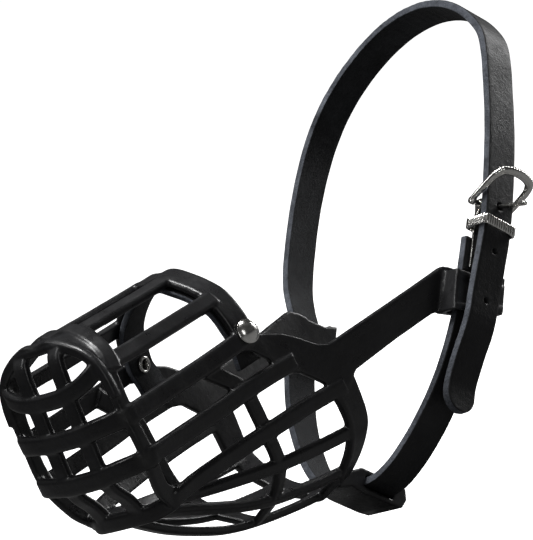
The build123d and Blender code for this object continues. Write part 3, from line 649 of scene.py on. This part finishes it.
main = [(45.3, 18.6), (45.2, 13.0), (45.1, 8.0)] + LOWER + [(-x, v) for x, v in reversed(LOWER)][1:-1] + [(-x, v) for x, v in UPPER] + NEARUP


# sides of the strap's section that are cut edges, by index
CUT_SIDES = set(range(16, 22)) | set(range(35, 40)) | {0, 1}


def strap_mesh(name, pts, end_round=False, wrinkles=(), seed=0):
    """A flat strap along (x, v) points: grain face outside, flesh inside, cut edges at the sides."""
    P = np.array(pts, float)
    s = np.r_[0, np.cumsum(np.hypot(*np.diff(P, axis=0).T))]
    step = 0.7
    ts = np.linspace(0, s[-1], int(s[-1] / step))
    x = np.array([catmull(s, P[:, 0], t) for t in ts])
    v = np.array([catmull(s, P[:, 1], t) for t in ts])
    dx, dv = np.gradient(x), np.gradient(v)
    m = np.hypot(dx, dv)
    nx, nv = -dv / m, dx / m
    # point the normal out of the loop, whose middle is near v = 28
    sign = np.sign(np.median(nx * x + nv * (v - 28)))
    nx, nv = nx * sign, nv * sign
    rng = np.random.default_rng(seed)
    ph = rng.uniform(0, 6.28, 8)
    M = Mesh()
    rings = []
    nseg = 12
    for i, t in enumerate(ts):
        w = STRAP_W - 0.1 + 0.10 * math.sin(t * 0.11 + ph[0]) + 0.05 * math.sin(t * 0.53 + ph[1])
        if end_round:
            left = s[-1] - t
            r = STRAP_W / 2
            if left < r:
                w = 2 * math.sqrt(max(r * r - (r - left) ** 2, 0.16))
        off = 0.06 * math.sin(t * 0.047 + ph[2])
        h = STRAP_T / 2 - 0.06
        half = w / 2
        ro, ri = min(0.55, half * 0.4), min(0.35, half * 0.3)
        sec = []
        for a in np.linspace(0, 90, 4):
            q = math.radians(a)
            sec.append((half - ro + ro * math.cos(q), h - ro + ro * math.sin(q)))
        for a in np.linspace(half - ro, -half + ro, nseg)[1:-1]:
            sec.append((a, h))
        for a in np.linspace(90, 180, 4):
            q = math.radians(a)
            sec.append((-half + ro + ro * math.cos(q), h - ro + ro * math.sin(q)))
        for b in np.linspace(h - ro, -h + ri, 5)[1:-1]:
            sec.append((-half, b))
        for a in np.linspace(180, 270, 3):
            q = math.radians(a)
            sec.append((-half + ri + ri * math.cos(q), -h + ri + ri * math.sin(q)))
        for a in np.linspace(-half + ri, half - ri, nseg)[1:-1]:
            sec.append((a, -h))
        for a in np.linspace(270, 360, 3):
            q = math.radians(a)
            sec.append((half - ri + ri * math.cos(q), -h + ri + ri * math.sin(q)))
        for b in np.linspace(-h + ri, h - ro, 5)[1:-1]:
            sec.append((half, b))
        wr = 0.0
        for centre, width, amp, pitch in wrinkles:
            wr += amp * math.exp(-(((t - centre) / width) ** 2)) * math.sin(t * 2 * math.pi / pitch + 0.8 * math.sin(t * 0.9))
        ring = []
        for j, (a, b) in enumerate(sec):
            edge = 0.05 * math.sin(t * 1.7 + j) + 0.04 * math.sin(t * 3.1 + 2 * j) if abs(abs(a) - half) < 0.05 else 0.0
            bb = b + (wr * (0.5 + 0.5 * math.cos(a * 0.35)) if b < 0 else wr * 0.45)
            ring.append(loop(x[i] + nx[i] * bb, v[i] + nv[i] * bb, a + off + edge * np.sign(a)))
        rings.append(ring)
    mats = [1 if j in CUT_SIDES else 0 if 2 <= j <= 15 else 2 for j in range(len(sec))]
    M.rings(rings, mats=mats, caps=1)
    o = M.make(name, [M_GRAIN, M_EDGE, M_FLESH])
    return o, s[-1]


def punch_holes(obj, spots, r, x0=48.0, x1=60.0):
    for x, v in spots:
        cut(obj, cylinder(loop(x0, v), np.array([1.0, 0, 0]), 0, x1 - x0, r))


wrinkles = [(22.0, 8.0, 0.10, 3.2), (70.0, 9.0, 0.16, 3.0), (96.0, 7.0, 0.18, 2.6), (112.0, 7.0, 0.16, 2.8), (320.0, 26.0, 0.16, 4.6), (362.0, 22.0, 0.12, 3.8)]
strap, STRAP_LENGTH = strap_mesh("leather_strap", main, wrinkles=wrinkles, seed=3)
punch_holes(strap, [(49.0, 31.1)], 1.75)
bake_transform(strap)
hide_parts("chin_strap", "nape_strap", "strap_end")
tail, TAIL_LENGTH = strap_mesh("strap_free_end", TAIL, end_round=True, wrinkles=[(40.0, 10.0, 0.07, 3.4)], seed=5)
punch_holes(tail, [(48.0, 13.0), (48.0, -6.5)], 1.25)
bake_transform(tail)
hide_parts("strap_tail")

# ---- buckle ----------------------------------------------------------------------------
BX, BV = 49.0, 31.8


def tube(mesh, pts, radii, n=20, squeeze=None, caps=True):
    """Round wire through 3-D points. squeeze flattens the section along a fixed direction."""
    P = np.array(pts, float)
    s = np.r_[0, np.cumsum(np.linalg.norm(np.diff(P, axis=0), axis=1))]
    ts = np.linspace(0, s[-1], max(8, int(s[-1] / 0.28)))
    C = np.array([[catmull(s, P[:, i], t) for i in range(3)] for t in ts])
    R = np.array([catmull(s, radii, t) for t in ts])
    T = np.gradient(C, axis=0)
    T /= np.linalg.norm(T, axis=1)[:, None]
    ref = unit(np.cross(T[0], [0.2, 0.5, 0.84]))
    rings = []
    for c, r, t in zip(C, R, T):
        ref = unit(ref - t * np.dot(ref, t))
        b = np.cross(t, ref)
        ring = []
        for q in np.linspace(0, 2 * math.pi, n, endpoint=False):
            d = ref * math.cos(q) + b * math.sin(q)
            if squeeze is not None:
                d = d - squeeze[0] * np.dot(d, squeeze[0]) * squeeze[1]
            ring.append(c + d * r)
        rings.append(ring)
    mesh.rings(rings, caps=caps)
    return s[-1]


TILT = math.radians(36.0)
FD = np.array([math.cos(TILT), 0, 0]) + UV * math.sin(TILT)
FN = np.cross(FD, NV)


def fp(a, n, lift=0.0):
    return loop(BX, BV, n) + FD * a + FN * lift


F = Mesh()
tube(F, [fp(0, -8.6), fp(0, -4), fp(0, 4), fp(0, 8.6)], [1.2, 1.2, 1.2, 1.2], 24)
frame_pts = [(-0.2, -8.6), (3.0, -8.9), (6.0, -8.95), (9.0, -8.9), (13.0, -8.6), (16.2, -7.0), (17.6, -3.8), (18.0, 0.0), (17.6, 3.8), (16.2, 7.0), (13.0, 8.6), (9.0, 8.9), (6.0, 8.95), (3.0, 8.9), (-0.2, 8.6)]
radii = [1.3, 1.32, 1.35, 1.4, 1.5, 1.65, 1.72, 1.74, 1.72, 1.65, 1.5, 1.4, 1.35, 1.32, 1.3]
P = np.array([fp(a, n) for a, n in frame_pts])
s_ = np.r_[0, np.cumsum(np.linalg.norm(np.diff(P, axis=0), axis=1))]
ts = np.linspace(0, s_[-1], 330)
C = np.array([[catmull(s_, P[:, i], t) for i in range(3)] for t in ts])
R = np.array([catmull(s_, radii, t) for t in ts])
T = np.gradient(C, axis=0)
T /= np.linalg.norm(T, axis=1)[:, None]
rings = []
for c, r, t, u in zip(C, R, T, ts):
    b = unit(np.cross(t, FN))
    mid = abs(u - s_[-1] / 2)
    knurl = 0.17 * (1 if math.sin(u * 2 * math.pi / 1.05) > 0 else -0.9) if mid < 10.5 else 0.0
    ring = []
    for q in np.linspace(0, 2 * math.pi, 28, endpoint=False):
        # side wires are flattened above and below, and the front bar is ridged on top and outside
        cq, sq = math.cos(q), math.sin(q)
        flat_ = 0.84 if mid > 11.0 else 0.92
        up = np.clip(sq * flat_, -0.8, 0.8) if mid > 11.0 else sq * flat_
        rr = r + knurl * (0.5 + 0.5 * sq)
        ring.append(c + b * cq * rr + FN * up * rr)
    rings.append(ring)
F.rings(rings)
for side in (-1, 1):
    # rounded ends of the hinge bar where the side wires close on it
    lathe(F, loop(BX, BV, side * 8.6), NV * side, [(-1.3, 1.2), (-1.1, 1.5), (0, 1.62), (0.6, 1.5), (1.0, 1.05), (1.1, 0.2)], 28)
buckle = F.make("buckle_frame_wire", [M_NICKEL])
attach(buckle, "frame_body")
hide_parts("buckle_frame")

PA = math.radians(-7.0)
PD = np.array([math.cos(PA), 0, 0]) + UV * math.sin(PA)
G = Mesh()
po = loop(BX, BV)
lathe_prof = [(-1.4, 1.27), (-1.4, 1.7), (-1.15, 2.15), (-0.5, 2.28), (0.5, 2.28), (1.15, 2.15), (1.4, 1.7), (1.4, 1.27), (-1.4, 1.27)]
G.rings([[po + NV * t + (PD * math.cos(q) + np.cross(NV, PD) * math.sin(q)) * r for q in np.linspace(0, 2 * math.pi, 40, endpoint=False)] for t, r in lathe_prof], caps=False)
tube(G, [po + PD * 1.7, po + PD * 5, po + PD * 10, po + PD * 15, po + PD * 18.2, po + PD * 19.3], [1.0, 0.98, 0.93, 0.88, 0.95, 1.0], 18)
G2 = []
for t, r in ((0, 1.0), (0.35, 0.92), (0.65, 0.7), (0.8, 0.35), (0.84, 0.05)):
    G2.append([po + PD * (19.3 + t) + (NV * math.cos(q) + np.cross(PD, NV) * math.sin(q)) * r for q in np.linspace(0, 2 * math.pi, 18, endpoint=False)])
G.rings(G2)
prong = G.make("buckle_prong_wire", [M_NICKEL])
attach(prong, "prong_body")
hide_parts("buckle_prong")

# chape: a folded plate whose two ears wrap the hinge bar
CH0, CH1, CW, LOOP_R = 47.05, 48.15, 4.8, 2.3
H = Mesh()
for n0, n1 in ((-CW, -1.95), (1.95, CW)):
    prof = []
    for q in np.linspace(200, -20, 23):
        prof.append((BX + LOOP_R * math.cos(math.radians(q)), BV + LOOP_R * math.sin(math.radians(q))))
    prof = [(CH0, 26.6), (CH0, 29.4)] + prof + [(CH1 + 1.2, 29.4), (CH1, 26.6)]
    prof = [(min(max(x, 46.75), 51.25), v) for x, v in prof]
    outer = [loop(x, v, n0) for x, v in prof], [loop(x, v, n1) for x, v in prof]
    H.rings(list(outer))
plate = [(CH0 + 0.03, 6.7), (CH0 + 0.03, 27.2), (CH1, 27.2), (CH1, 6.7)]
H.rings([[loop(x, v, n) for x, v in plate] for n in (-CW, CW)])
chape = H.make("buckle_chape_plate", [M_NICKEL])
cut(chape, cylinder(loop(BX, BV, -9), NV, 0, 18, 1.27))
vm = chape.modifiers.new("r", "REMESH")
vm.mode = "VOXEL"
vm.voxel_size = 0.00018
apply_modifiers(chape)
sm = chape.modifiers.new("s", "SMOOTH")
sm.factor = 0.5
sm.iterations = 5
apply_modifiers(chape)
for p in chape.data.polygons:
    p.use_smooth = True
if not chape.data.materials:
    chape.data.materials.append(M_NICKEL)
cut(chape, cylinder(loop(44, 12.5), np.array([1.0, 0, 0]), 0, 9, 1.36))
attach(chape, "nape_body")
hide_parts("buckle_chape")

J = Mesh()
rr = (3.2**2 + 1.1**2) / 2.2
prof = [(0.0, 0.5), (0.0, 3.05), (0.12, 3.2)]
for t in np.linspace(0.1, 1.0, 10):
    r = 3.15 * math.cos(t * math.pi / 2)
    prof.append((max(1.1 - rr + math.sqrt(rr * rr - r * r), 0.14), r))
lathe(J, loop(CH1 + 0.03, 12.5), np.array([1.0, 0, 0]), prof, 40)
lathe(J, loop(43.0, 12.5), np.array([1.0, 0, 0]), [(0.0, 1.3), (7.0, 1.3)], 24)
lathe(J, loop(43.5, 12.5), np.array([-1.0, 0, 0]), [(0.02, 0.5), (0.02, 2.8), (0.3, 2.8), (0.75, 2.3), (0.95, 1.2), (0.98, 0.1)], 32)
riv = J.make("chape_rivet_turned", [M_NICKEL])
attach(riv, "nape_body")
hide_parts("chape_rivet")

# keeper: a ridged flat loop
K = Mesh()
xa, xb, nb = 46.8, 56.4, 7.4
xm, nm = (xa + xb) / 2, 0.0
hx, hn, cr = (xb - xa) / 2, nb, 1.0
track = []
for cx, cn, a0 in ((hx - cr, hn - cr, 0), (-hx + cr, hn - cr, 90), (-hx + cr, -hn + cr, 180), (hx - cr, -hn + cr, 270)):
    for q in np.linspace(0, 90, 7):
        t = math.radians(a0 + q)
        track.append((cx + cr * math.cos(t), cn + cr * math.sin(t), math.cos(t), math.sin(t)))
dense = []
for i in range(len(track)):
    a, b = np.array(track[i]), np.array(track[(i + 1) % len(track)])
    L = math.hypot(*(b - a)[:2])
    k = max(1, int(L / 0.16))
    for j in range(k):
        dense.append(a + (b - a) * j / k)
acc = 0.0
rings = []
for i, (x, n, ox, on) in enumerate(dense):
    if i:
        acc += math.hypot(x - dense[i - 1][0], n - dense[i - 1][1])
    ridge_ = 0.24 if math.sin(acc * 2 * math.pi / 1.2) > -0.2 else 0.0
    if on < -0.5 or ox < -0.5:
        ridge_ *= 0.35 if ox < -0.5 else 1.0
    th = 0.78 + ridge_
    ring = []
    for dv_, h in ((-1.9, 0.0), (-2.0, 0.12), (-2.0, th - 0.25), (-1.75, th), (-0.8, th + 0.02), (0.8, th + 0.02), (1.75, th), (2.0, th - 0.25), (2.0, 0.12), (1.9, 0.0)):
        ring.append(loop(xm + x + ox * h, 23.2 + dv_, n + on * h))
    rings.append(ring)
K.rings(rings, loop=True, caps=False)
keeper = K.make("strap_keeper_loop", [M_NICKEL])
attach(keeper, "keeper_body")
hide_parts("strap_keeper")

# ---- stage -----------------------------------------------------------------------------
def stage_floor(z):
    me = bpy.data.meshes.new("floor")
    s = 12.0
    me.from_pydata([(-s, -s, z), (s, -s, z), (s, s, z), (-s, s, z)], [], [(0, 1, 2, 3)])
    o = bpy.data.objects.new("floor", me)
    bpy.context.scene.collection.objects.link(o)
    m, nt, b = new_mat("pale_floor")
    b.inputs["Roughness"].default_value = 0.9
    b.inputs["Specular IOR Level"].default_value = 0.0
    b.inputs["Emission Color"].default_value = (1, 1, 1, 1)
    lp = nt.nodes.new("ShaderNodeLightPath")
    mul = nt.nodes.new("ShaderNodeMath")
    mul.operation = "MULTIPLY"
    mul.inputs[1].default_value = 1.0
    nt.links.new(lp.outputs["Is Camera Ray"], mul.inputs[0])
    nt.links.new(mul.outputs[0], b.inputs["Emission Strength"])
    shade = ramp(nt, lp.outputs["Is Camera Ray"], [(0.0, 0.16), (1.0, 0.82)])
    nt.links.new(shade.outputs[0], b.inputs["Base Color"])
    me.materials.append(m)


lo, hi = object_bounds()
stage_floor(lo.z - 0.004)

world = bpy.data.worlds.new("studio")
bpy.context.scene.world = world
world.use_nodes = True
wt = world.node_tree
bg = wt.nodes["Background"]
bg.inputs[0].default_value = (1, 1, 1, 1)
wlp = wt.nodes.new("ShaderNodeLightPath")
wmr = wt.nodes.new("ShaderNodeMapRange")
wmr.inputs["To Min"].default_value = 0.05
wmr.inputs["To Max"].default_value = 1.0
wt.links.new(wlp.outputs["Is Camera Ray"], wmr.inputs["Value"])
wt.links.new(wmr.outputs["Result"], bg.inputs[1])
bpy.context.scene.view_settings.view_transform = "Standard"
bpy.context.scene.view_settings.look = "None"


def area(name, pos, target, size, power, size_y=None):
    l = bpy.data.lights.new(name, "AREA")
    l.energy = power
    l.shape = "RECTANGLE" if size_y else "SQUARE"
    l.size = size
    if size_y:
        l.size_y = size_y
    o = bpy.data.objects.new(name, l)
    o.location = pos
    o.rotation_mode = "QUATERNION"
    o.rotation_quaternion = (Vector(target) - Vector(pos)).to_track_quat("-Z", "Y")
    bpy.context.scene.collection.objects.link(o)
    return o


# camera: the right, up and back directions of the view, and its distance, in millimetres
CR = np.array([0.683, 0.60, -0.42])
CU = np.array([0.209, 0.39, 0.90])
CR = unit(CR)
CU = unit(CU - CR * np.dot(CR, CU))
CB = np.cross(CR, CU)
cam_pos = row(np.array([1006.09, -951.42, 210.16]))
mid = np.array([0.0, 0.02, 0.0])
cr_, cu_, cb_ = CR, CU, CB
area("key", tuple(mid + cu_ * 0.80 - cr_ * 0.30 + cb_ * 0.10), tuple(mid), 0.16, 9, 0.5)
area("left", tuple(mid - cr_ * 0.85 + cu_ * 0.40 + cb_ * 0.30), tuple(mid), 0.10, 2.6, 0.6)
area("rim", tuple(mid + cr_ * 0.65 + cu_ * 0.55 - cb_ * 0.55), tuple(mid), 0.20, 4, 0.5)
area("front", tuple(mid + cr_ * 0.10 + cu_ * 0.25 + cb_ * 1.0), tuple(mid), 0.10, 1.0, 0.5)

cam = bpy.data.cameras.new("camera")
cam.sensor_fit = "HORIZONTAL"
cam.sensor_width = 36.0
cam.lens = 3920.0 / 533.0 * 36.0
cam.clip_start, cam.clip_end = 0.01, 50
co = bpy.data.objects.new("camera", cam)
M4 = Matrix((
    (CR[0], CU[0], CB[0], cam_pos[0]),
    (CR[1], CU[1], CB[1], cam_pos[1]),
    (CR[2], CU[2], CB[2], cam_pos[2]),
    (0, 0, 0, 1)))
co.matrix_world = M4
bpy.context.scene.collection.objects.link(co)
bpy.context.scene.camera = co
